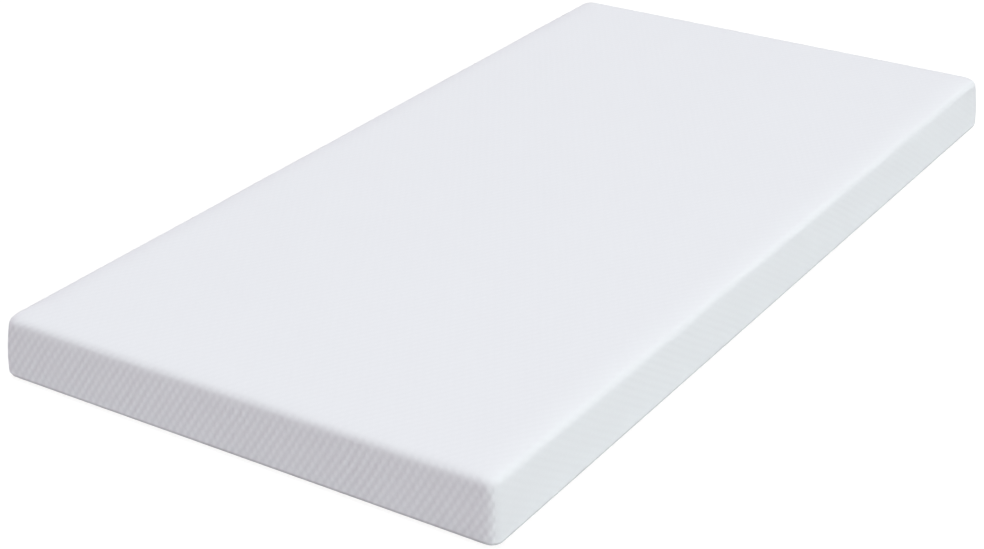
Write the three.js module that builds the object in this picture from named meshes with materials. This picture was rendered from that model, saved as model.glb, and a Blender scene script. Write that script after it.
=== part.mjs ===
import * as THREE from 'three';

// A one-piece knitted cover drawn over a plain foam cot mattress, in millimetres.
// X runs across the mattress, Y along it, +Z is up and the floor is at z = 0.
// Each surface is a stack of rings. A ring is a rounded rectangle at some height, set in from
// the widest outline, which lies low on the sides.

// Dressed mattress
const coverWidth = 600;
const coverLength = 1190;
const edgeHeight = 72; // floor to the top, where its soft shoulder begins
const crownRise = 2; // how much higher the middle of the top is
const shoulderRadius = 150; // the top falls away gently before its tight edge
const shoulderTurn = THREE.MathUtils.degToRad(10);
const topEdgeRadius = 10;
const sideLean = 3.5; // how far a side leans in between its foot and the top edge
const footRadius = 8; // where the sides turn under the mattress
const cornerRadius = 11; // the four upright corners where they are widest, seen from above

// Cloth
const clothThickness = 2;
const hemInset = 85; // from the widest outline to the hem's free edge, under the mattress
const clearance = 0.3; // between the cloth and the foam

// Facets
const cornerSteps = 6;
const widthSteps = 8;
const lengthSteps = 16;
const topRings = 5;
const shoulderSteps = 2;
const edgeSteps = 5;
const sideSteps = 4;
const footSteps = 4;
const middleInset = 265; // the innermost ring of the top, whose inside is one flat strip
const roundestEnd = 0.6; // largest corner radius of a ring, as a share of its half width

const quarterTurn = Math.PI / 2;

// Centres of the two arcs that round the top edge, as insets and heights
const edgeStartTilt = quarterTurn - shoulderTurn;
const edgeCentreHeight = edgeHeight - shoulderRadius
  + (shoulderRadius - topEdgeRadius) * Math.sin(edgeStartTilt);
const leanTilt = Math.atan((2 * sideLean) / (edgeCentreHeight - footRadius));
const edgeCentre = {
  inset: sideLean + topEdgeRadius * Math.cos(leanTilt),
  height: edgeCentreHeight,
};
const shoulderCentre = {
  inset: edgeCentre.inset + (shoulderRadius - topEdgeRadius) * Math.cos(edgeStartTilt),
  height: edgeHeight - shoulderRadius,
};

// Profile of the outer face, from the middle of the top, over the edge, down the side and under.
// Each point has an inset, a height and the tilt of its outward normal above the horizontal.
function coverProfile() {
  const footCentre = { inset: footRadius, height: footRadius };
  const sideTop = edgeCentre.height + topEdgeRadius * Math.sin(leanTilt);

  const points = [];
  for (let step = 0; step < topRings; step += 1) {
    const inset = THREE.MathUtils.lerp(middleInset, shoulderCentre.inset, step / topRings);
    points.push({ inset, height: edgeHeight, tilt: quarterTurn });
  }
  points.push(...arcPoints(
    shoulderCentre,
    shoulderRadius,
    quarterTurn,
    edgeStartTilt,
    shoulderSteps,
  ).slice(0, -1));
  points.push(...arcPoints(edgeCentre, topEdgeRadius, edgeStartTilt, leanTilt, edgeSteps));
  for (let step = sideSteps - 1; step > 0; step -= 1) {
    const rise = step / sideSteps;
    points.push({
      inset: sideLean * rise ** 2,
      height: THREE.MathUtils.lerp(footRadius, sideTop, rise),
      tilt: leanTilt * rise,
    });
  }
  points.push(...arcPoints(footCentre, footRadius, 0, -quarterTurn, footSteps));
  points.push({ inset: hemInset, height: 0, tilt: -quarterTurn });
  return points;
}

function arcPoints(centre, radius, fromTilt, toTilt, steps) {
  const points = [];
  for (let step = 0; step <= steps; step += 1) {
    const tilt = THREE.MathUtils.lerp(fromTilt, toTilt, step / steps);
    points.push({
      inset: centre.inset - radius * Math.cos(tilt),
      height: centre.height + radius * Math.sin(tilt),
      tilt,
    });
  }
  return points;
}

// Rise of the crowned top above its shoulder
function crownAt(x, y) {
  const across = x / (coverWidth / 2 - shoulderCentre.inset);
  const along = y / (coverLength / 2 - shoulderCentre.inset);
  return crownRise * Math.max(0, 1 - across ** 2) * Math.max(0, 1 - along ** 4);
}

// The ring of one profile point, moved straight inwards by a depth. Its corners are rounder the
// further it is set in. It starts at the right-hand corner of the far end and runs anticlockwise,
// seen from above.
function ringAt(point, depth) {
  const moved = depth * Math.cos(point.tilt);
  const height = point.height - depth * Math.sin(point.tilt);
  const halfWidth = coverWidth / 2 - point.inset - moved;
  const halfLength = coverLength / 2 - point.inset - moved;
  const cornerRound = Math.hypot(cornerRadius, point.inset) - moved;
  const radius = Math.min(cornerRound, roundestEnd * halfWidth);

  const corners = [[1, 1], [-1, 1], [-1, -1], [1, -1]].map(([sideX, sideY], quarter) => {
    const centreX = sideX * (halfWidth - radius);
    const centreY = sideY * (halfLength - radius);
    const arc = [];
    for (let step = 0; step <= cornerSteps; step += 1) {
      const angle = quarterTurn * (quarter + step / cornerSteps);
      arc.push([centreX + radius * Math.cos(angle), centreY + radius * Math.sin(angle)]);
    }
    return arc;
  });

  const outline = [];
  corners.forEach((arc, quarter) => {
    const [startX, startY] = arc[cornerSteps];
    const [endX, endY] = corners[(quarter + 1) % 4][0];
    const steps = quarter % 2 === 0 ? widthSteps : lengthSteps;
    outline.push(...arc);
    for (let step = 1; step < steps; step += 1) {
      const share = step / steps;
      outline.push([
        THREE.MathUtils.lerp(startX, endX, share),
        THREE.MathUtils.lerp(startY, endY, share),
      ]);
    }
  });

  const onTop = point.tilt === quarterTurn;
  return outline.map(([x, y]) => [x, y, height + (onTop ? crownAt(x, y) : 0)]);
}

// A closed skin over a stack of rings, with the first and the last ring filled in.
// Rings that step outwards going down face up and out, so the first one is closed facing up.
function skinOver(rings) {
  const count = rings[0].length;
  const triangles = [];
  for (let ring = 0; ring < rings.length - 1; ring += 1) {
    for (let step = 0; step < count; step += 1) {
      const here = ring * count + step;
      const beside = ring * count + ((step + 1) % count);
      triangles.push(here, here + count, beside + count);
      triangles.push(here, beside + count, beside);
    }
  }
  triangles.push(...stripAcross(0, count));
  triangles.push(...stripAcross((rings.length - 1) * count, count).reverse());

  const geometry = new THREE.BufferGeometry();
  geometry.setAttribute('position', new THREE.Float32BufferAttribute(rings.flat(2), 3));
  geometry.setIndex(triangles);
  geometry.computeVertexNormals();
  return geometry;
}

// Triangles that fill a ring facing up, in rungs between its left and right sides
function stripAcross(first, count) {
  const farMiddle = cornerSteps + widthSteps / 2;
  const triangles = [];
  for (let rung = 0; rung < count / 2; rung += 1) {
    const left = first + ((farMiddle + rung) % count);
    const nextLeft = first + ((farMiddle + rung + 1) % count);
    const right = first + ((farMiddle - rung + count) % count);
    const nextRight = first + ((farMiddle - rung - 1 + count) % count);
    if (left !== right) {
      triangles.push(right, left, nextLeft);
    }
    if (nextLeft !== nextRight) {
      triangles.push(right, nextLeft, nextRight);
    }
  }
  return triangles;
}

// Knitted cloth: the whole profile outside, and back again a cloth's thickness further in
function makeCover() {
  const profile = coverProfile();
  const outside = profile.map((point) => ringAt(point, 0));
  const inside = profile.map((point) => ringAt(point, clothThickness)).reverse();
  const knit = new THREE.MeshStandardMaterial({ color: '#eef0f4', roughness: 0.92, metalness: 0 });
  const mesh = new THREE.Mesh(skinOver([...outside, ...inside]), knit);
  mesh.name = 'cover';
  return mesh;
}

// Foam: it fills the cloth, lies on the turned-in border and comes down to the floor inside it
function makeMattress() {
  const depth = clothThickness + clearance;
  const profile = coverProfile();
  const hem = profile.pop();
  const opening = { ...hem, inset: hemInset + clearance };
  const rings = [...profile, opening].map((point) => ringAt(point, depth));
  rings.push(ringAt(opening, 0));
  const foam = new THREE.MeshStandardMaterial({ color: '#f0eee6', roughness: 0.95, metalness: 0 });
  const mesh = new THREE.Mesh(skinOver(rings), foam);
  mesh.name = 'mattress';
  return mesh;
}

const coveredMattress = new THREE.Group();
coveredMattress.add(makeCover(), makeMattress());

export default coveredMattress;
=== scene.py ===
import math

import bpy
import numpy as np
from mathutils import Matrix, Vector


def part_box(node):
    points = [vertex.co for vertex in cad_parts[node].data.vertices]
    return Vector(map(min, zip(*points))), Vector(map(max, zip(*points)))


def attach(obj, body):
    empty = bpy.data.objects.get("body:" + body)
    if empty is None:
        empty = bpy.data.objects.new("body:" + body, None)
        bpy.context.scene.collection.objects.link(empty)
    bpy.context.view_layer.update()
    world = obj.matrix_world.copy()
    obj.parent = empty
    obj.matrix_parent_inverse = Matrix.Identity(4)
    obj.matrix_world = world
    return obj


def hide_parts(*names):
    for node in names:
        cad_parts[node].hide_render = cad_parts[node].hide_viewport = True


# A thin cot mattress in a white knit cover, on a pale studio floor. Sizes are in metres.

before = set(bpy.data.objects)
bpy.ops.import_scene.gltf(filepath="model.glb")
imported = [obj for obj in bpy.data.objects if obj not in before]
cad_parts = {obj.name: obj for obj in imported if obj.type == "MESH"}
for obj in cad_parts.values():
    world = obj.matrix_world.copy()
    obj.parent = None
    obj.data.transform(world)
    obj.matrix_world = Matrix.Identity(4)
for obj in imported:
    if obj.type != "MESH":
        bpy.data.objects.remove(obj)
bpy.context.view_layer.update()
scene = bpy.context.scene
scene.view_settings.view_transform = "Standard"
mm = 0.001


# Camera

cameraSettings = {
    "place": (1.1295, -1.9056, 1.0427),
    "turn": 32.479,  # degrees to the left of straight down the mattress
    "tilt": 26.279,  # degrees below level
    "lens": 75.91,
    "sensorWidth": 36,
    "reach": 100,
}


def makeCamera():
    data = bpy.data.cameras.new("camera")
    data.lens = cameraSettings["lens"]
    data.sensor_width = cameraSettings["sensorWidth"]
    data.clip_end = cameraSettings["reach"]
    camera = bpy.data.objects.new("camera", data)
    camera.location = cameraSettings["place"]
    tilt = math.radians(90 - cameraSettings["tilt"])
    camera.rotation_euler = (tilt, 0, math.radians(cameraSettings["turn"]))
    scene.collection.objects.link(camera)
    scene.camera = camera


makeCamera()
print("camera placed")


# Form of the dressed mattress, taken from the frame's cover

coverLow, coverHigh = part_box("cover")

form = {
    "width": coverHigh[0] - coverLow[0],
    "length": coverHigh[1] - coverLow[1],
    "edgeHeight": 72 * mm,
    "shoulderRadius": 150 * mm,  # the top falls away gently before its tight edge
    "shoulderTurn": math.radians(10),
    "edgeRadius": 10 * mm,
    "sideLean": 3.5 * mm,
    "footRadius": 8 * mm,
    "cornerRadius": 11 * mm,
    "clothThickness": 2 * mm,
    "hemInset": 85 * mm,
    "clearance": 0.3 * mm,
    "cornerFade": 45 * mm,  # the top's mesh is drawn in to its corners over this width
}
form["crownRise"] = coverHigh[2] - form["edgeHeight"]

pathSteps = {"shoulder": 24, "edge": 24, "side": 24, "foot": 16}
pastHem = 12 * mm  # the path goes on a little, so that the foam's opening lies on it too


def arcPath(inset, height, radius, tilts):
    return inset - radius * np.cos(tilts), height + radius * np.sin(tilts)


def makePath():
    # outer face from the crown, over the shoulder and edge, down the side and under past the hem
    edge, foot, shoulder = form["edgeRadius"], form["footRadius"], form["shoulderRadius"]
    startTilt = math.pi / 2 - form["shoulderTurn"]
    edgeHeight = form["edgeHeight"] - shoulder + (shoulder - edge) * math.sin(startTilt)
    lean = math.atan(2 * form["sideLean"] / (edgeHeight - foot))
    edgeInset = form["sideLean"] + edge * math.cos(lean)
    crownInset = edgeInset + (shoulder - edge) * math.cos(startTilt)
    shoulderTilts = np.linspace(math.pi / 2, startTilt, pathSteps["shoulder"])[:-1]
    edgeTilts = np.linspace(startTilt, lean, pathSteps["edge"])
    footTilts = np.linspace(0, -math.pi / 2, pathSteps["foot"])
    rise = np.linspace(1, 0, pathSteps["side"])[1:-1]
    stretches = [
        arcPath(crownInset, form["edgeHeight"] - shoulder, shoulder, shoulderTilts),
        arcPath(edgeInset, edgeHeight, edge, edgeTilts),
    ]
    sideTop = stretches[1][1][-1]
    stretches += [
        (form["sideLean"] * rise ** 2, foot + rise * (sideTop - foot)),
        arcPath(foot, foot, foot, footTilts),
        (np.array([form["hemInset"] + pastHem]), np.zeros(1)),
    ]
    inset, height = np.concatenate(stretches, axis=1)
    tilt = np.concatenate([shoulderTilts, edgeTilts, lean * rise, footTilts, [-math.pi / 2]])
    travel = np.concatenate([[0], np.cumsum(np.hypot(np.diff(inset), np.diff(height)))])
    return {
        "travel": travel - np.interp(-startTilt, -tilt, travel),  # zero at the rim of the edge
        "inset": inset,
        "height": height,
        "tilt": tilt,
    }


path = makePath()
crownInset = path["inset"][0]
rimInset = np.interp(0, path["travel"], path["inset"])  # the tight edge starts here
footTravel = path["travel"][-2]  # where the cloth meets the floor
hemTravel = footTravel + form["hemInset"] - form["footRadius"]
flatAcross = form["width"] / 2 - rimInset  # half the width of the top inside its rim
flatAlong = form["length"] / 2 - rimInset


def ringRadius(inset):
    return np.hypot(form["cornerRadius"], inset)


def quarterTurned(facing, out, along):
    # facings 0 to 3 look towards +X, +Y, -X and -Y, and along runs anticlockwise
    return [(out, along), (-along, out), (-out, -along), (along, -out)][facing]


def insetAt(x, y):
    # how far in from the widest outline the ring through a point of the top lies
    toX = form["width"] / 2 - np.abs(x)
    toY = form["length"] / 2 - np.abs(y)
    low, high = np.zeros_like(toX), np.minimum(toX, toY)
    for halving in range(24):  # down to well under a micron
        middle = (low + high) / 2
        radius = ringRadius(middle)
        beyondX = np.clip(radius - toX + middle, 0, None)
        beyondY = np.clip(radius - toY + middle, 0, None)
        inside = np.hypot(beyondX, beyondY) < radius
        low, high = np.where(inside, middle, low), np.where(inside, high, middle)
    return low


def heightAt(x, y):
    # the crown is round across and flatter along
    across = np.clip(1 - (x / (form["width"] / 2 - crownInset)) ** 2, 0, 1)
    along = np.clip(1 - (y / (form["length"] / 2 - crownInset)) ** 4, 0, 1)
    intoShoulder = np.clip(crownInset - insetAt(x, y), 0, None)
    radius = form["shoulderRadius"]
    fall = radius - np.sqrt(radius ** 2 - intoShoulder ** 2)
    return form["edgeHeight"] + form["crownRise"] * across * along - fall


def onSide(facing, share, travel, depth, seamHalf=0.0):
    # share runs from -1 to 1 between the two corners; travel runs down from the rim of the top
    inset = np.interp(travel, path["travel"], path["inset"])
    height = np.interp(travel, path["travel"], path["height"])
    tilt = np.interp(travel, path["travel"], path["tilt"])
    halves = (form["width"] / 2, form["length"] / 2)
    out = halves[facing % 2] - inset
    run = halves[1 - facing % 2] - inset
    radius = ringRadius(inset)
    straight = run - radius
    at = share * (straight + radius * math.pi / 4 - seamHalf)
    turn = np.clip((np.abs(at) - straight) / radius, 0, math.pi / 4)
    along = np.sign(at) * (np.minimum(np.abs(at), straight) + radius * np.sin(turn))
    out = out - radius * (1 - np.cos(turn))
    along = along - depth * np.cos(tilt) * np.sin(turn) * np.sign(at)
    out = out - depth * np.cos(tilt) * np.cos(turn)
    x, y = quarterTurned(facing, out, along)
    return np.stack([x, y, height - depth * np.sin(tilt)], axis=-1)


def onTop(x, y, depth):
    # a flat grid whose rim is drawn in to the rounded corners
    toRim = np.minimum(flatAcross - np.abs(x), flatAlong - np.abs(y))
    fade = np.clip(1 - toRim / form["cornerFade"], 0, 1) ** 2
    facesAcross = flatAcross - np.abs(x) < flatAlong - np.abs(y)
    run = np.where(facesAcross, flatAlong, flatAcross)
    middle = 1e-9  # keeps the share of the way along finite at the very middle
    shareAlong = y / np.maximum(flatAlong - toRim, middle)
    shareAcross = x / np.maximum(flatAcross - toRim, middle)
    at = np.where(facesAcross, shareAlong, shareAcross)
    radius = ringRadius(rimInset)
    straight = run - radius
    wanted = at * (straight + radius * math.pi / 4)
    turn = np.clip((np.abs(wanted) - straight) / radius, 0, math.pi / 4)
    along = np.sign(wanted) * (np.minimum(np.abs(wanted), straight) + radius * np.sin(turn))
    moveAlong = fade * (along - at * run)
    moveOut = -fade * radius * (1 - np.cos(turn))
    movedX = x + np.where(facesAcross, np.sign(x) * moveOut, moveAlong)
    movedY = y + np.where(facesAcross, moveAlong, np.sign(y) * moveOut)
    onShoulder = np.clip(1 - toRim / (crownInset - rimInset), 0, 1)
    inward = depth * np.sin(form["shoulderTurn"]) * onShoulder
    shrunkX = movedX * (1 - inward / flatAcross)
    shrunkY = movedY * (1 - inward / flatAlong)
    height = heightAt(movedX, movedY) - depth
    return np.stack([shrunkX, shrunkY, height], axis=-1)


# Knit pattern: raised ribs one way and lower ribs the other, in a lattice of long diamonds

knit = {
    "repeatsAcross": 65,  # over the top
    "repeatsAlong": 82,
    "ribHeight": 0.28 * mm,
    "crossRibHeight": 0.16 * mm,
    "everyOther": 0.15,  # how much every second column of ribs differs
    "unevenRibs": 0.25,  # how much the ribs fade and swell over the cloth
    "swellRepeats": (5, 14),  # shortest and longest wave of that swell
    "tightTop": 0.22,  # share of the ribs left over the top and its edge
    "tightLongSides": 0.25,
    "wavesHeight": 0.15 * mm,  # slow unevenness of the whole cloth
    "wavesRepeats": (16, 40),
    "seeds": {"ribs": 3, "crossRibs": 5, "waves": 7},
}
pitchAcross = 2 * flatAcross / knit["repeatsAcross"]
pitchAlong = 2 * flatAlong / knit["repeatsAlong"]


def smoothStep(low, high, value):
    share = np.clip((value - low) / (high - low), 0, 1)
    return share * share * (3 - 2 * share)


def longWaves(across, along, seed, lengths):
    # soft unevenness between about -1 and 1, as a few long waves that cross each other
    random = np.random.default_rng(knit["seeds"][seed])
    number, usualPeak = 7, 3  # the waves seldom add up to more than that
    stretch = 1.6  # a repeat is about this much longer along than across
    total = np.zeros_like(across)
    for wave in range(number):
        heading = random.uniform(0, math.pi)
        repeats = random.uniform(*lengths)
        start = random.uniform(0, 2 * math.pi)
        distance = across * math.cos(heading) + along * stretch * math.sin(heading)
        total += np.sin(2 * math.pi * distance / repeats + start)
    return total / usualPeak


def ribs(across, along):
    # across and along count repeats of the pattern
    main = np.cos(2 * math.pi * (across - along))
    crossing = np.cos(2 * math.pi * (across + along))
    mainSwell = 1 + knit["everyOther"] * np.cos(math.pi * (across - along))
    mainSwell += knit["unevenRibs"] * longWaves(across, along, "ribs", knit["swellRepeats"])
    crossWaves = longWaves(across, along, "crossRibs", knit["swellRepeats"])
    crossSwell = 1 + knit["unevenRibs"] * crossWaves
    mainRibs = knit["ribHeight"] * main * mainSwell
    crossRibs = knit["crossRibHeight"] * crossing * crossSwell
    return mainRibs + crossRibs


def sideCloth(facing, along, travel):
    # pattern coordinates on a side, which carry on from those of the top
    base = (flatAcross, flatAlong)[facing % 2]
    across, lengthwise = quarterTurned(facing, base + travel, along)
    return np.stack([across / pitchAcross, lengthwise / pitchAlong], axis=-1)


# Building blocks for sheet meshes


class SheetMesh:
    def __init__(self):
        self.points, self.cloth, self.count = [], [], 0
        self.faces, self.clothFaces = [], []

    def addPoints(self, points, cloth):
        numbers = np.arange(self.count, self.count + points.size // 3)
        self.points.append(points.reshape(-1, 3))
        self.cloth.append(cloth.reshape(-1, 2))
        self.count += len(numbers)
        return numbers.reshape(points.shape[:-1])

    def addFaces(self, faces, clothFaces=None):
        self.faces.append(faces)
        self.clothFaces.append(faces if clothFaces is None else clothFaces)

    def addGrid(self, numbers, rising):
        # rising: the cut of each square runs from its first corner to the opposite one
        a, b = numbers[:-1, :-1], numbers[1:, :-1]
        c, d = numbers[1:, 1:], numbers[:-1, 1:]
        pairs = [(a, b, c), (a, c, d)] if rising else [(a, b, d), (b, c, d)]
        for corners in pairs:
            self.addFaces(np.stack(corners, axis=-1).reshape(-1, 3))

    def bridge(self, left, right, patternOf=None):
        # a strip between two rows of points, always cut along the shorter way; at a seam it
        # takes the pattern of the side on its left or right
        points = np.concatenate(self.points)
        made, i, j = [], 0, 0
        while i < len(left) - 1 or j < len(right) - 1:
            stepLeft = j == len(right) - 1
            if i < len(left) - 1 and not stepLeft:
                viaLeft = np.sum((points[left[i + 1]] - points[right[j]]) ** 2)
                viaRight = np.sum((points[left[i]] - points[right[j + 1]]) ** 2)
                stepLeft = viaLeft <= viaRight
            if stepLeft:
                made.append((left[i], left[i + 1], right[j]))
                i += 1
            else:
                made.append((left[i], right[j + 1], right[j]))
                j += 1
        if patternOf is None:
            self.addFaces(np.array(made))
            return
        row, lenders = (right, left) if patternOf == "left" else (left, right)
        self.addFaces(np.array(made), self.borrowed(made, row[1:], lenders))

    def borrowed(self, faces, row, lenders):
        # the same faces, with each point of the row taken for the nearest of the lenders
        points = np.concatenate(self.points)
        gaps = np.linalg.norm(points[row][:, None] - points[lenders], axis=2)
        nearest = dict(zip(row.tolist(), lenders[np.argmin(gaps, axis=1)].tolist()))
        return np.array([[nearest.get(point, point) for point in face] for face in faces])

    def flipFrom(self, first):
        self.faces[first:] = [part[:, ::-1] for part in self.faces[first:]]
        self.clothFaces[first:] = [part[:, ::-1] for part in self.clothFaces[first:]]

    def makeObject(self, name):
        mesh = bpy.data.meshes.new(name)
        points, faces = np.concatenate(self.points), np.concatenate(self.faces)
        mesh.from_pydata(points.tolist(), [], faces.tolist())
        clothMap = mesh.uv_layers.new(name="cloth")
        corners = np.concatenate(self.cloth)[np.concatenate(self.clothFaces).reshape(-1)]
        clothMap.uv.foreach_set("vector", corners.astype(np.float32).ravel())
        mesh.shade_smooth()
        mesh.set_sharp_from_angle(angle=math.radians(55))  # the hem's cut edge stays crisp
        made = bpy.data.objects.new(name, mesh)
        scene.collection.objects.link(made)
        return made


def addLayer(sheet, layer):
    # one face of the cloth: the top, four sides down to the hem, and the four corner seams
    columns, rows = layer["topColumns"], layer["topRows"]
    depth = layer["depth"]
    gridX, gridY = np.meshgrid(
        np.linspace(-flatAcross, flatAcross, columns + 1),
        np.linspace(-flatAlong, flatAlong, rows + 1),
    )
    cloth = np.stack([gridX / pitchAcross, gridY / pitchAlong], axis=-1)
    points = onTop(gridX, gridY, depth)
    points[..., 2] += layer["lift"](cloth, 0, 0)
    top = sheet.addPoints(points, cloth)
    sheet.addGrid(top.T, True)
    rims = [top[:, -1], top[-1, ::-1], top[::-1, 0], top[0, :]]

    sides = []
    for facing in range(4):
        run = (flatAlong, flatAcross)[facing % 2]
        shares = np.linspace(-1, 1, layer["sideColumns"][facing % 2] + 1)
        share, travel = np.meshgrid(shares, layer["travels"][facing % 2])
        cloth = sideCloth(facing, share * run, travel)
        outward = layer["lift"](cloth, share * run, travel)
        points = onSide(facing, share, travel, depth - outward, cover["seamHalf"])
        side = sheet.addPoints(points, cloth)
        sheet.addGrid(side, facing % 2 == 0)
        sheet.bridge(side[0], rims[facing])
        sides.append(side)

    seams = []
    for facing in range(4):
        run = (flatAlong, flatAcross)[facing % 2]
        travel = layer["seamTravels"]
        points = onSide(facing, np.ones_like(travel), travel, depth + layer["groove"](travel))
        cloth = sideCloth(facing, np.full_like(travel, run), travel)
        seam = np.concatenate([[rims[facing][-1]], sheet.addPoints(points, cloth)])
        sheet.bridge(sides[facing][:, -1], seam, "left")
        sheet.bridge(seam, sides[(facing + 1) % 4][:, 0], "right")
        seams.append(seam)
    return [
        np.concatenate([[seams[facing - 1][-1]], sides[facing][-1], [seams[facing][-1]]])
        for facing in range(4)
    ]


# Cover

cover = {
    "topSamples": 3,  # mesh steps in one repeat of the pattern
    "sideSamples": 4,
    "lastRow": 1 * mm,  # the finely meshed rows of a side end this far above the foot
    "plainColumns": (24, 48),  # mesh steps across and along a smooth face, such as the inner one
    "plainRows": (13, 3),  # down a side, and from the foot to the hem
    "ribsRise": (6 * mm, 28 * mm),  # below the rim, where the ribs of a side gain their height
    "ribsEnd": (16 * mm, 4 * mm),  # above the foot, where they lose it again
    "longSideFrom": 20 * mm,  # past the rim, where a long side is as tight as it gets
    "ribsAtSeam": 0.4,  # share of the ribs left at a corner seam
    "ribsFromSeam": 16 * mm,  # and how far from it they are whole again
    "seamHalf": 0.9 * mm,
    "seamDepth": 0.12 * mm,
    "seamGrows": (15 * mm, 60 * mm),  # below the rim, where the groove reaches its depth
    "puckerHeight": 0.12 * mm,
    "puckerPitch": 8 * mm,
    "puckerSway": (2, 190),  # radians, and per metre: puckers that follow each other unevenly
    "puckerReach": 11 * mm,
    "puckerFrom": 20 * mm,
    "gatherHeight": 0.22 * mm,
    "gatherPitch": 13 * mm,
    "gatherSway": (1, 70),
    "gatherFrom": 12 * mm,  # from the foot
    "gatherFull": 20 * mm,  # from the hem
    "borderRows": (4 * mm, 18 * mm, 36 * mm),  # mesh rows under the mattress, from the foot
    "hemFold": 2 * mm,
    "needleFromHem": 14 * mm,
    "needleGroove": 0.45 * mm,
    "needleFlank": 1.6 * mm,
    "cutSmaller": 0.03,  # the knit is cut this much small each way, so that it fits tightly
}
needleTravel = hemTravel - cover["needleFromHem"]


def coverLift(cloth, along, travel):
    # how far the outer face stands off its smooth form
    across, lengthwise = cloth[..., 0], cloth[..., 1]
    ribsEnd = footTravel - np.array(cover["ribsEnd"])
    flatten = 1 - smoothStep(*ribsEnd, travel)
    toSeam = np.abs(along).max() - np.abs(along)
    isSide = np.any(travel)
    if isSide:
        fromSeam = smoothStep(0, cover["ribsFromSeam"], toSeam)
        flatten = flatten * (cover["ribsAtSeam"] + (1 - cover["ribsAtSeam"]) * fromSeam)
    pastRim = np.abs(across) * pitchAcross - flatAcross
    onLongSide = smoothStep(0, cover["longSideFrom"], pastRim)
    sideShare = 1 - (1 - knit["tightLongSides"]) * onLongSide
    loose = smoothStep(*cover["ribsRise"], travel)
    ribShare = knit["tightTop"] + (sideShare - knit["tightTop"]) * loose
    waves = longWaves(across, lengthwise, "waves", knit["wavesRepeats"])
    slow = knit["wavesHeight"] * waves
    lift = flatten * (ribShare * ribs(across, lengthwise) + slow)
    if not isSide:
        return lift

    nearSeam = np.exp(-toSeam / cover["puckerReach"])
    swing, rate = cover["puckerSway"]
    sway = swing * np.sin(travel * rate)
    pucker = np.sin(2 * math.pi * travel / cover["puckerPitch"] + sway)
    pucker = pucker * nearSeam * smoothStep(0, cover["puckerFrom"], travel)
    needle = np.clip(1 - np.abs(needleTravel - travel) / cover["needleFlank"], 0, 1)
    gatherFull = hemTravel - cover["gatherFull"]
    gathered = smoothStep(footTravel + cover["gatherFrom"], gatherFull, travel)
    swing, rate = cover["gatherSway"]
    sway = swing * np.sin(along * rate)
    fold = 0.5 + 0.5 * np.cos(2 * math.pi * along / cover["gatherPitch"] + sway)
    lift = lift + flatten * cover["puckerHeight"] * pucker
    lift = lift - cover["gatherHeight"] * gathered * fold * (1 - needle)
    return lift - cover["needleGroove"] * needle


def seamGroove(travel):
    return cover["seamDepth"] * smoothStep(*cover["seamGrows"], travel)


def sideTravels(pitch):
    # mesh rows down a side and in under the mattress to the hem
    step = pitch / cover["sideSamples"]
    side = step * np.arange(1, int((footTravel - cover["lastRow"]) / step) + 1)
    border = footTravel + np.array(cover["borderRows"])
    needle = needleTravel + np.array([-1, 0, 1]) * cover["needleFlank"]
    return np.concatenate([side, border, needle, [hemTravel - cover["hemFold"], hemTravel]])


def smoothLayer(depth, hem):
    # a face without relief, which ends at the given travel under the mattress
    downSide, toHem = cover["plainRows"]
    acrossTop, alongTop = cover["plainColumns"]
    travels = np.concatenate([
        np.linspace(0, footTravel, downSide + 1)[1:],
        np.linspace(footTravel, hem, toHem + 1)[1:],
    ])
    return {
        "depth": depth,
        "lift": lambda cloth, along, travel: np.zeros(cloth.shape[:-1]),
        "groove": np.zeros_like,
        "topColumns": acrossTop,
        "topRows": alongTop,
        "sideColumns": (alongTop, acrossTop),
        "travels": (travels, travels),
        "seamTravels": travels,
    }


def makeCover():
    sheet = SheetMesh()
    outerRims = addLayer(sheet, {
        "depth": 0,
        "lift": coverLift,
        "groove": seamGroove,
        "topColumns": knit["repeatsAcross"] * cover["topSamples"],
        "topRows": knit["repeatsAlong"] * cover["topSamples"],
        "sideColumns": (
            knit["repeatsAlong"] * cover["sideSamples"],
            knit["repeatsAcross"] * cover["sideSamples"],
        ),
        "travels": (sideTravels(pitchAcross), sideTravels(pitchAlong)),
        "seamTravels": sideTravels(pitchAlong),
    })
    firstInner = len(sheet.faces)
    innerRims = addLayer(sheet, smoothLayer(form["clothThickness"], hemTravel))
    sheet.flipFrom(firstInner)
    for outerRim, innerRim in zip(outerRims, innerRims):
        sheet.bridge(innerRim, outerRim)
    return sheet.makeObject("knit_cover")


# Thread of the hem

stitch = {
    "pitch": 3.6 * mm,
    "length": 2.9 * mm,
    "width": 0.55 * mm,
    "height": 0.34 * mm,
    "sides": 6,
    "stations": (-0.5, -0.32, 0, 0.32, 0.5),  # shares of the length
    "fullness": (0.15, 0.8, 1, 0.8, 0.15),  # of the thread at each of them
    "pathSteps": 400,  # along each of the four sides
    "lookAhead": 0.5 * mm,  # to the point that a stitch heads for
}


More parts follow.
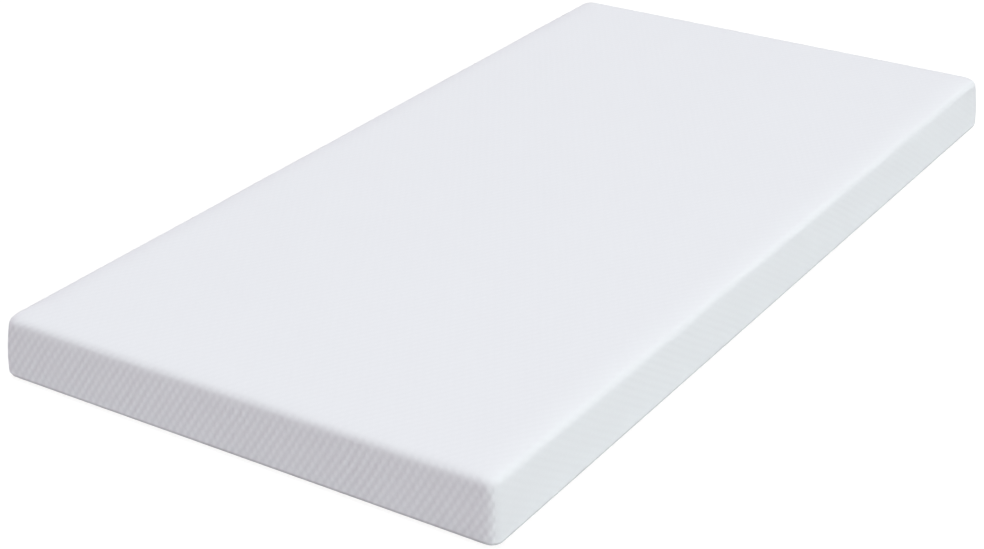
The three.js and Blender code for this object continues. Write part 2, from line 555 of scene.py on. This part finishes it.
def makeHemStitches():
    # small spindles lying in the needle groove, all along the hem
    shares = np.linspace(-1, 1, stitch["pathSteps"])[:-1]
    loop = np.concatenate([
        onSide(facing, shares, np.full_like(shares, needleTravel), 0)
        for facing in range(4)
    ])
    loop = np.concatenate([loop, loop[:1]])
    lengths = np.concatenate([[0], np.cumsum(np.linalg.norm(np.diff(loop, axis=0), axis=1))])
    number = int(lengths[-1] / stitch["pitch"])
    middles = (np.arange(number) + 0.5) * lengths[-1] / number
    centre, ahead = (
        np.stack([np.interp(at, lengths, loop[:, axis]) for axis in range(3)], axis=1)
        for at in (middles, middles + stitch["lookAhead"])
    )
    heading = (ahead - centre) / np.linalg.norm(ahead - centre, axis=1)[:, None]
    beside = np.stack([-heading[:, 1], heading[:, 0], np.zeros(number)], axis=1)
    stations = np.array(stitch["stations"]) * stitch["length"]
    fullness = np.array(stitch["fullness"])
    angles = np.arange(stitch["sides"]) * 2 * math.pi / stitch["sides"]
    sideways = fullness[:, None] * np.cos(angles) * stitch["width"] / 2
    upwards = fullness[:, None] * np.sin(angles) * stitch["height"] / 2
    points = (
        centre[:, None, None]
        + heading[:, None, None] * stations[:, None, None]
        + beside[:, None, None] * sideways[..., None]
    )
    points[..., 2] = cover["needleGroove"] / 2 + upwards
    sheet = SheetMesh()
    numbers = sheet.addPoints(points, np.zeros(points.shape[:-1] + (2,)))
    around = np.concatenate([numbers, numbers[:, :, :1]], axis=2)
    a, b = around[:, :-1, :-1], around[:, 1:, :-1]
    c, d = around[:, 1:, 1:], around[:, :-1, 1:]
    for corners in [(a, b, c), (a, c, d)]:
        sheet.addFaces(np.stack(corners, axis=-1).reshape(-1, 3)[:, ::-1])
    for end, turned in ((0, 1), (-1, -1)):
        for corner in range(1, stitch["sides"] - 1):
            cap = numbers[:, end][:, [0, corner, corner + 1]]
            sheet.addFaces(cap[:, ::turned][:, ::-1])
    return sheet.makeObject("hem_stitches")


# Foam mattress

foam = {
    "openingRound": 4 * mm,  # soft edge where the foam comes down inside the hem
    "roundShares": (0.25, 0.6, 1),  # of the quarter turn of that edge
}


def makeFoam():
    sheet = SheetMesh()
    depth = form["clothThickness"] + form["clearance"]
    rims = addLayer(sheet, smoothLayer(depth, hemTravel + form["clearance"]))
    loop = np.concatenate([rim[:-1] for rim in rims])
    first = np.concatenate(sheet.points)[loop]
    for share in foam["roundShares"]:
        inward = foam["openingRound"] * (1 - math.cos(share * math.pi / 2))
        ring = first.copy()
        ring[:, :2] *= 1 - inward / np.linalg.norm(first[:, :2], axis=1)[:, None]
        ring[:, 2] = depth * (1 - math.sin(share * math.pi / 2))
        below = sheet.addPoints(ring, np.zeros((len(loop), 2)))
        sheet.bridge(np.append(below, below[0]), np.append(loop, loop[0]))
        loop = below
    middle = sheet.addPoints(np.array([[0.0, 0.0, 0.0]]), np.zeros((1, 2)))[0]
    closing = np.append(loop, loop[0])
    sheet.addFaces(np.array([
        (closing[i + 1], closing[i], middle) for i in range(len(loop))
    ]))
    return sheet.makeObject("foam_mattress")


coverPiece = makeCover()
print("cover made:", len(coverPiece.data.polygons), "triangles")
stitchPiece = makeHemStitches()
print("hem stitches made:", len(stitchPiece.data.polygons), "triangles")
foamPiece = makeFoam()
print("foam made:", len(foamPiece.data.polygons), "triangles")


# Materials


class Wire:
    # one output socket of a shader node, which can be added, multiplied and so on
    def __init__(self, tree, socket=None):
        self.tree, self.socket = tree, socket

    def add(self, kind, settings=None, values=None, output=0):
        node = self.tree.nodes.new("ShaderNode" + kind)
        for name, setting in (settings or {}).items():
            setattr(node, name, setting)
        for name, value in (values or {}).items():
            if isinstance(value, Wire):
                self.tree.links.new(value.socket, node.inputs[name])
            else:
                node.inputs[name].default_value = value
        return Wire(self.tree, node.outputs[output])

    def maths(self, operation, first, second=0.0):
        return self.add("Math", {"operation": operation}, {0: first, 1: second})

    def __add__(self, other):
        return self.maths("ADD", self, other)

    def __radd__(self, other):
        return self.maths("ADD", other, self)

    def __sub__(self, other):
        return self.maths("SUBTRACT", self, other)

    def __rsub__(self, other):
        return self.maths("SUBTRACT", other, self)

    def __mul__(self, other):
        return self.maths("MULTIPLY", self, other)

    def __rmul__(self, other):
        return self.maths("MULTIPLY", other, self)

    def cosine(self):
        return self.maths("COSINE", self * (2 * math.pi))  # of whole turns

    def fraction(self):
        return self.maths("FRACT", self)

    def size(self):
        return self.maths("ABSOLUTE", self)

    def power(self, exponent):
        return self.maths("POWER", self, exponent)

    def eased(self, low, high):
        # 0 below low, 1 above high and a soft step between
        values = {"Value": self, "From Min": low, "From Max": high}
        return self.add("MapRange", {"interpolation_type": "SMOOTHSTEP"}, values)

    def objectPoint(self):
        return self.add("TexCoord", None, None, "Object")

    def bump(self, strength, distance):
        values = {"Strength": strength, "Distance": distance, "Height": self}
        return self.add("Bump", None, values)

    def noise(self, position, scale, detail):
        return self.add("TexNoise", None, {"Vector": position, "Scale": scale, "Detail": detail})

    def mixed(self, first, second):
        # colours first and second, mixed by this wire
        first, second = (
            colour if isinstance(colour, Wire) else (*colour, 1) for colour in (first, second)
        )
        return self.add("Mix", {"data_type": "RGBA"}, {0: self, 6: first, 7: second}, 2)


def startMaterial(name):
    material = bpy.data.materials.new(name)
    material.use_nodes = True
    surface = material.node_tree.nodes["Principled BSDF"]
    return material, surface, Wire(material.node_tree)


def plug(surface, name, wire):
    wire.tree.links.new(wire.socket, surface.inputs[name])


knitFinish = {
    "colour": (0.842, 0.856, 0.890),
    # the dark end of the tone: painted shade in the grooves, and the yarn's random darker patches
    "paintedGrooveShadeAndDarkYarn": (0.762, 0.775, 0.812),
    "roughness": 0.88,
    "fuzzRoughness": 0.08,
    "sheen": 0.12,
    "sheenRoughness": 0.6,
    "gloss": 0.25,
    "paintedFootShadowColour": (0.57, 0.575, 0.60),  # painted shadow: the cloth is painted greyer where it turns under, in place of the contact shade at the floor
    "paintedFootShadowBand": (1.1 * mm, 2.2 * mm, 4.4 * mm, 7.8 * mm),  # heights where the painted shadow comes and goes
    "stitchesAcross": 6,  # loops in one repeat of the pattern
    "stitchesAlong": 12,
    "loopSlant": 0.9,  # how far the legs of a loop lean, in courses
    "loopSwell": 0.3,
    "waleRound": 2.5,  # a higher power gives a column of loops a flatter back
    "ribPaintedShade": 0.39,  # painted shade: ribs are painted lighter and the grooves between them darker, as the shade that falls in the grooves
    "crossRibPaintedShade": 0.17,
    # crossings and loops carry the same painted groove shade
    "crossingPaintedShade": 0.10,
    "loopPaintedShade": 0.07,
    "cloudTone": 0.12,
    "middleTone": 0.44,
    "topPaintedShadeShare": 0.15,  # share of the ribs' painted shade left on the brightly lit top, where the cloth is also pulled flat
    # share of the ribs' painted shade left on the brightly lit long side
    "longSidePaintedShadeShare": 0.15,
    "pastShortEdge": (0.1, 1.6),  # repeats past the rim, where a side's stronger painted shade comes in
    "pastLongEdge": (0.2, 2.6),
    "speckle": 0.15,  # fine unevenness of the yarn
    "shortSideSpeckle": 0.9,
    "ribDepth": 0.06,  # fine height in millimetres, on top of the modelled ribs
    "crossRibDepth": 0.09,
    "loopDepth": 0.06,
    "fuzzDepth": 0.035,
    "fuzzNoise": (900.0, 3.0),  # scale and detail
    "cloudNoise": (9.0, 2.0),
    "patchNoise": (85.0, 2.0),  # patches where the ribs show more or less
    "patchRange": (-0.1, 2.1),
}


def makeKnit():
    material, surface, shader = startMaterial("white_knit")
    clothMap = shader.add("UVMap", {"uv_map": "cloth"})
    parts = {"Vector": clothMap}
    across = shader.add("SeparateXYZ", None, parts, 0)
    along = shader.add("SeparateXYZ", None, parts, 1)
    pastShort = along.size() - knit["repeatsAlong"] / 2
    pastLong = across.size() - knit["repeatsAcross"] / 2
    onShortSide = pastShort.eased(*knitFinish["pastShortEdge"])
    onLongSide = pastLong.eased(*knitFinish["pastLongEdge"])
    topPaintedShadeShare, longPaintedShadeShare = knitFinish["topPaintedShadeShare"], knitFinish["longSidePaintedShadeShare"]
    # the painted groove shade is strongest on the short side, which is in shade
    share = onShortSide * (1 - topPaintedShadeShare) + onLongSide * (longPaintedShadeShare - topPaintedShadeShare) + topPaintedShadeShare
    position = shader.objectPoint()
    fuzz = shader.noise(position, *knitFinish["fuzzNoise"])
    clouds = shader.noise(position, *knitFinish["cloudNoise"])
    patches = shader.noise(position, *knitFinish["patchNoise"])
    least, most = knitFinish["patchRange"]
    share = share * (patches * (most - least) + least)
    rib = (across - along).cosine() * share
    crossRib = (across + along).cosine() * share
    crossing = (across - along).cosine() * crossRib

    column = (across * knitFinish["stitchesAcross"]).fraction() - 0.5
    course = along * knitFinish["stitchesAlong"] - column.size() * knitFinish["loopSlant"]
    loop = course.cosine() * knitFinish["loopSwell"] + 1 - knitFinish["loopSwell"]
    wale = 1 - (column.size() * 2).power(knitFinish["waleRound"])
    loops = loop * wale - 0.5

    height = (
        rib * knitFinish["ribDepth"]
        + crossRib * knitFinish["crossRibDepth"]
        + loops * knitFinish["loopDepth"]
        + fuzz * knitFinish["fuzzDepth"]
    )
    plug(surface, "Normal", height.bump(1.0, mm))
    speckle = onShortSide * knitFinish["shortSideSpeckle"] + knitFinish["speckle"]
    # ribs, crossings and loops carry painted shade in their grooves; clouds and speckle add
    # random unevenness
    tone = (
        rib * knitFinish["ribPaintedShade"]
        + crossRib * knitFinish["crossRibPaintedShade"]
        + crossing * knitFinish["crossingPaintedShade"]
        + loops * knitFinish["loopPaintedShade"]
        + clouds * knitFinish["cloudTone"]
        + (fuzz - 0.5) * speckle
        + knitFinish["middleTone"]
    )
    cloth = tone.mixed(knitFinish["paintedGrooveShadeAndDarkYarn"], knitFinish["colour"])
    # painted contact shadow: the cloth is darkened in a band just above the floor
    aboveFloor = shader.add("SeparateXYZ", None, {"Vector": position}, 2)
    band = knitFinish["paintedFootShadowBand"]
    paintedFootShadowMask = aboveFloor.eased(band[0], band[1]) * (1 - aboveFloor.eased(band[2], band[3]))
    plug(surface, "Base Color", paintedFootShadowMask.mixed(cloth, knitFinish["paintedFootShadowColour"]))
    plug(surface, "Roughness", knitFinish["roughness"] + fuzz * knitFinish["fuzzRoughness"])
    surface.inputs["Sheen Weight"].default_value = knitFinish["sheen"]
    surface.inputs["Sheen Roughness"].default_value = knitFinish["sheenRoughness"]
    surface.inputs["Specular IOR Level"].default_value = knitFinish["gloss"]
    return material


foamFinish = {
    "colour": (0.80, 0.775, 0.69),
    # painted shade: the foam's pores are painted darker, as the shade in its cells
    "paintedPoreShade": (0.66, 0.62, 0.52),
    "poreDepth": 0.35 * mm,
    "poreScale": 620.0,
    "fineNoise": (240.0, 4.0),
    "cloudNoise": (7.0, 2.0),
    "heights": (0.8, 0.5),  # shares of the pores and of the fine grain
    "tones": (0.7, 0.4, 0.2),  # the same for the colour, and the slow clouds
    "bump": 0.8,
    "roughness": 0.9,
    "grainRoughness": 0.08,
    "gloss": 0.2,
}


def makeFoamFinish():
    material, surface, shader = startMaterial("soft_foam")
    position = shader.objectPoint()
    pores = shader.add("TexVoronoi", None, {"Vector": position, "Scale": foamFinish["poreScale"]})
    fine = shader.noise(position, *foamFinish["fineNoise"])
    clouds = shader.noise(position, *foamFinish["cloudNoise"])
    poreHeight, fineHeight = foamFinish["heights"]
    height = pores * poreHeight + fine * fineHeight
    plug(surface, "Normal", height.bump(foamFinish["bump"], foamFinish["poreDepth"]))
    poreTone, fineTone, cloudTone = foamFinish["tones"]
    tone = pores * poreTone + fine * fineTone + clouds * cloudTone
    plug(surface, "Base Color", tone.mixed(foamFinish["paintedPoreShade"], foamFinish["colour"]))
    plug(surface, "Roughness", foamFinish["roughness"] + fine * foamFinish["grainRoughness"])
    surface.inputs["Specular IOR Level"].default_value = foamFinish["gloss"]
    return material


threadFinish = {
    "colour": (0.86, 0.865, 0.88),
    # painted shade: the dips of the twist are painted darker, as the shade between its turns
    "paintedTwistShade": (0.74, 0.745, 0.77),
    "twistScale": 700.0,
    "twistSway": 1.5,
    "twistDepth": 0.08 * mm,
    "bump": 0.7,
    "roughness": 0.55,
    "twistRoughness": 0.15,
}


def makeThread():
    material, surface, shader = startMaterial("white_thread")
    position = shader.objectPoint()
    twist = shader.add(
        "TexWave",
        {"bands_direction": "DIAGONAL"},
        {
            "Vector": position,
            "Scale": threadFinish["twistScale"],
            "Distortion": threadFinish["twistSway"],
        },
        1,
    )
    plug(surface, "Normal", twist.bump(threadFinish["bump"], threadFinish["twistDepth"]))
    plug(surface, "Base Color", twist.mixed(threadFinish["paintedTwistShade"], threadFinish["colour"]))
    roughness = threadFinish["roughness"] + twist * threadFinish["twistRoughness"]
    plug(surface, "Roughness", roughness)
    return material


coverPiece.data.materials.append(makeKnit())
foamPiece.data.materials.append(makeFoamFinish())
stitchPiece.data.materials.append(makeThread())
print("materials made")


# Studio

studio = {
    "floorHalf": 30,
    "floorRoughness": 0.9,
    "floorGloss": 0.1,
    "bounceColour": (0.94, 0.94, 0.94),
    "bounceGlow": 0.04,
    "bounceHeight": -0.3 * mm,
    "floorColour": (0.14, 0.14, 0.14),  # what the camera sees, lit so that the shadow stays faint
    "floorGlow": 0.92,
    "floorHeight": 0,
    "skyLight": (0.14, 0.075, 0.115),
    "backdropRadius": 45,
    "backdropFacets": (64, 32),
    "backdropLight": (0.93, 0.94, 0.95),
    "overheadColour": (0.938, 0.99, 0.968),
    "overheadStrength": 2.52,
    "overheadFrom": (-0.08, 0.055, 1.0),
    "overheadSpread": math.radians(28),
    "sideColour": (0.855, 1.0, 0.91),
    "sideStrength": 1.24,
    "sideFrom": (0.90, -0.12, 0.42),
    "sideSpread": math.radians(30),
}


def makeSoftLight(name):
    data = bpy.data.lights.new(name, "SUN")
    data.energy = studio[name + "Strength"]
    data.color = studio[name + "Colour"]
    data.angle = studio[name + "Spread"]
    light = bpy.data.objects.new(name, data)
    light.rotation_euler = Vector(studio[name + "From"]).to_track_quat("Z", "Y").to_euler()
    scene.collection.objects.link(light)


def makeBackdrop():
    # a pale dome that only the camera sees, behind the far edge of the floor
    around, upwards = studio["backdropFacets"]
    bpy.ops.mesh.primitive_uv_sphere_add(
        radius=studio["backdropRadius"],
        segments=around,
        ring_count=upwards,
    )
    dome = bpy.context.object
    dome.name = "backdrop"
    for ray in ("diffuse", "glossy", "transmission", "shadow"):
        setattr(dome, "visible_" + ray, False)
    material, surface, _ = startMaterial("pale_backdrop")
    surface.inputs["Base Color"].default_value = (0, 0, 0, 1)
    surface.inputs["Specular IOR Level"].default_value = 0
    surface.inputs["Emission Color"].default_value = (*studio["backdropLight"], 1)
    surface.inputs["Emission Strength"].default_value = 1
    dome.data.materials.append(material)


def makeFloor(name, seen):
    # one floor is what the camera sees, the other one throws light back at the mattress
    half = studio["floorHalf"]
    mesh = bpy.data.meshes.new(name)
    corners = [(-half, -half, 0), (half, -half, 0), (half, half, 0), (-half, half, 0)]
    mesh.from_pydata(corners, [], [(0, 1, 2, 3)])
    floor = bpy.data.objects.new(name, mesh)
    floor.location.z = studio[name + "Height"]
    floor.visible_camera = seen
    for ray in ("diffuse", "glossy", "shadow"):
        setattr(floor, "visible_" + ray, not seen)
    scene.collection.objects.link(floor)
    material, surface, _ = startMaterial("pale_" + name)
    surface.inputs["Base Color"].default_value = (*studio[name + "Colour"], 1)
    surface.inputs["Roughness"].default_value = studio["floorRoughness"]
    surface.inputs["Specular IOR Level"].default_value = studio["floorGloss"]
    surface.inputs["Emission Color"].default_value = (1, 1, 1, 1)
    surface.inputs["Emission Strength"].default_value = studio[name + "Glow"]
    mesh.materials.append(material)


def makeStudio():
    world = bpy.data.worlds.new("studio")
    world.use_nodes = True
    sky = world.node_tree.nodes["Background"]
    sky.inputs["Color"].default_value = (*studio["skyLight"], 1)
    scene.world = world

    makeSoftLight("overhead")
    makeSoftLight("side")
    makeFloor("floor", True)
    makeFloor("bounce", False)
    makeBackdrop()


makeStudio()
print("studio made")


# Ties to the frame

for piece in (coverPiece, stitchPiece, foamPiece):
    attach(piece, "root")
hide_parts("cover")
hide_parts("mattress")

cutShare = 1 - cover["cutSmaller"]
cutWidth = 2 * (flatAcross + hemTravel) * cutShare
cutLength = 2 * (flatAlong + hemTravel) * cutShare
cutArea = cutWidth * cutLength - 4 * (hemTravel * cutShare) ** 2  # less the corner squares
print("cut cloth:", round(cutWidth, 3), round(cutLength, 3), round(cutArea, 3))
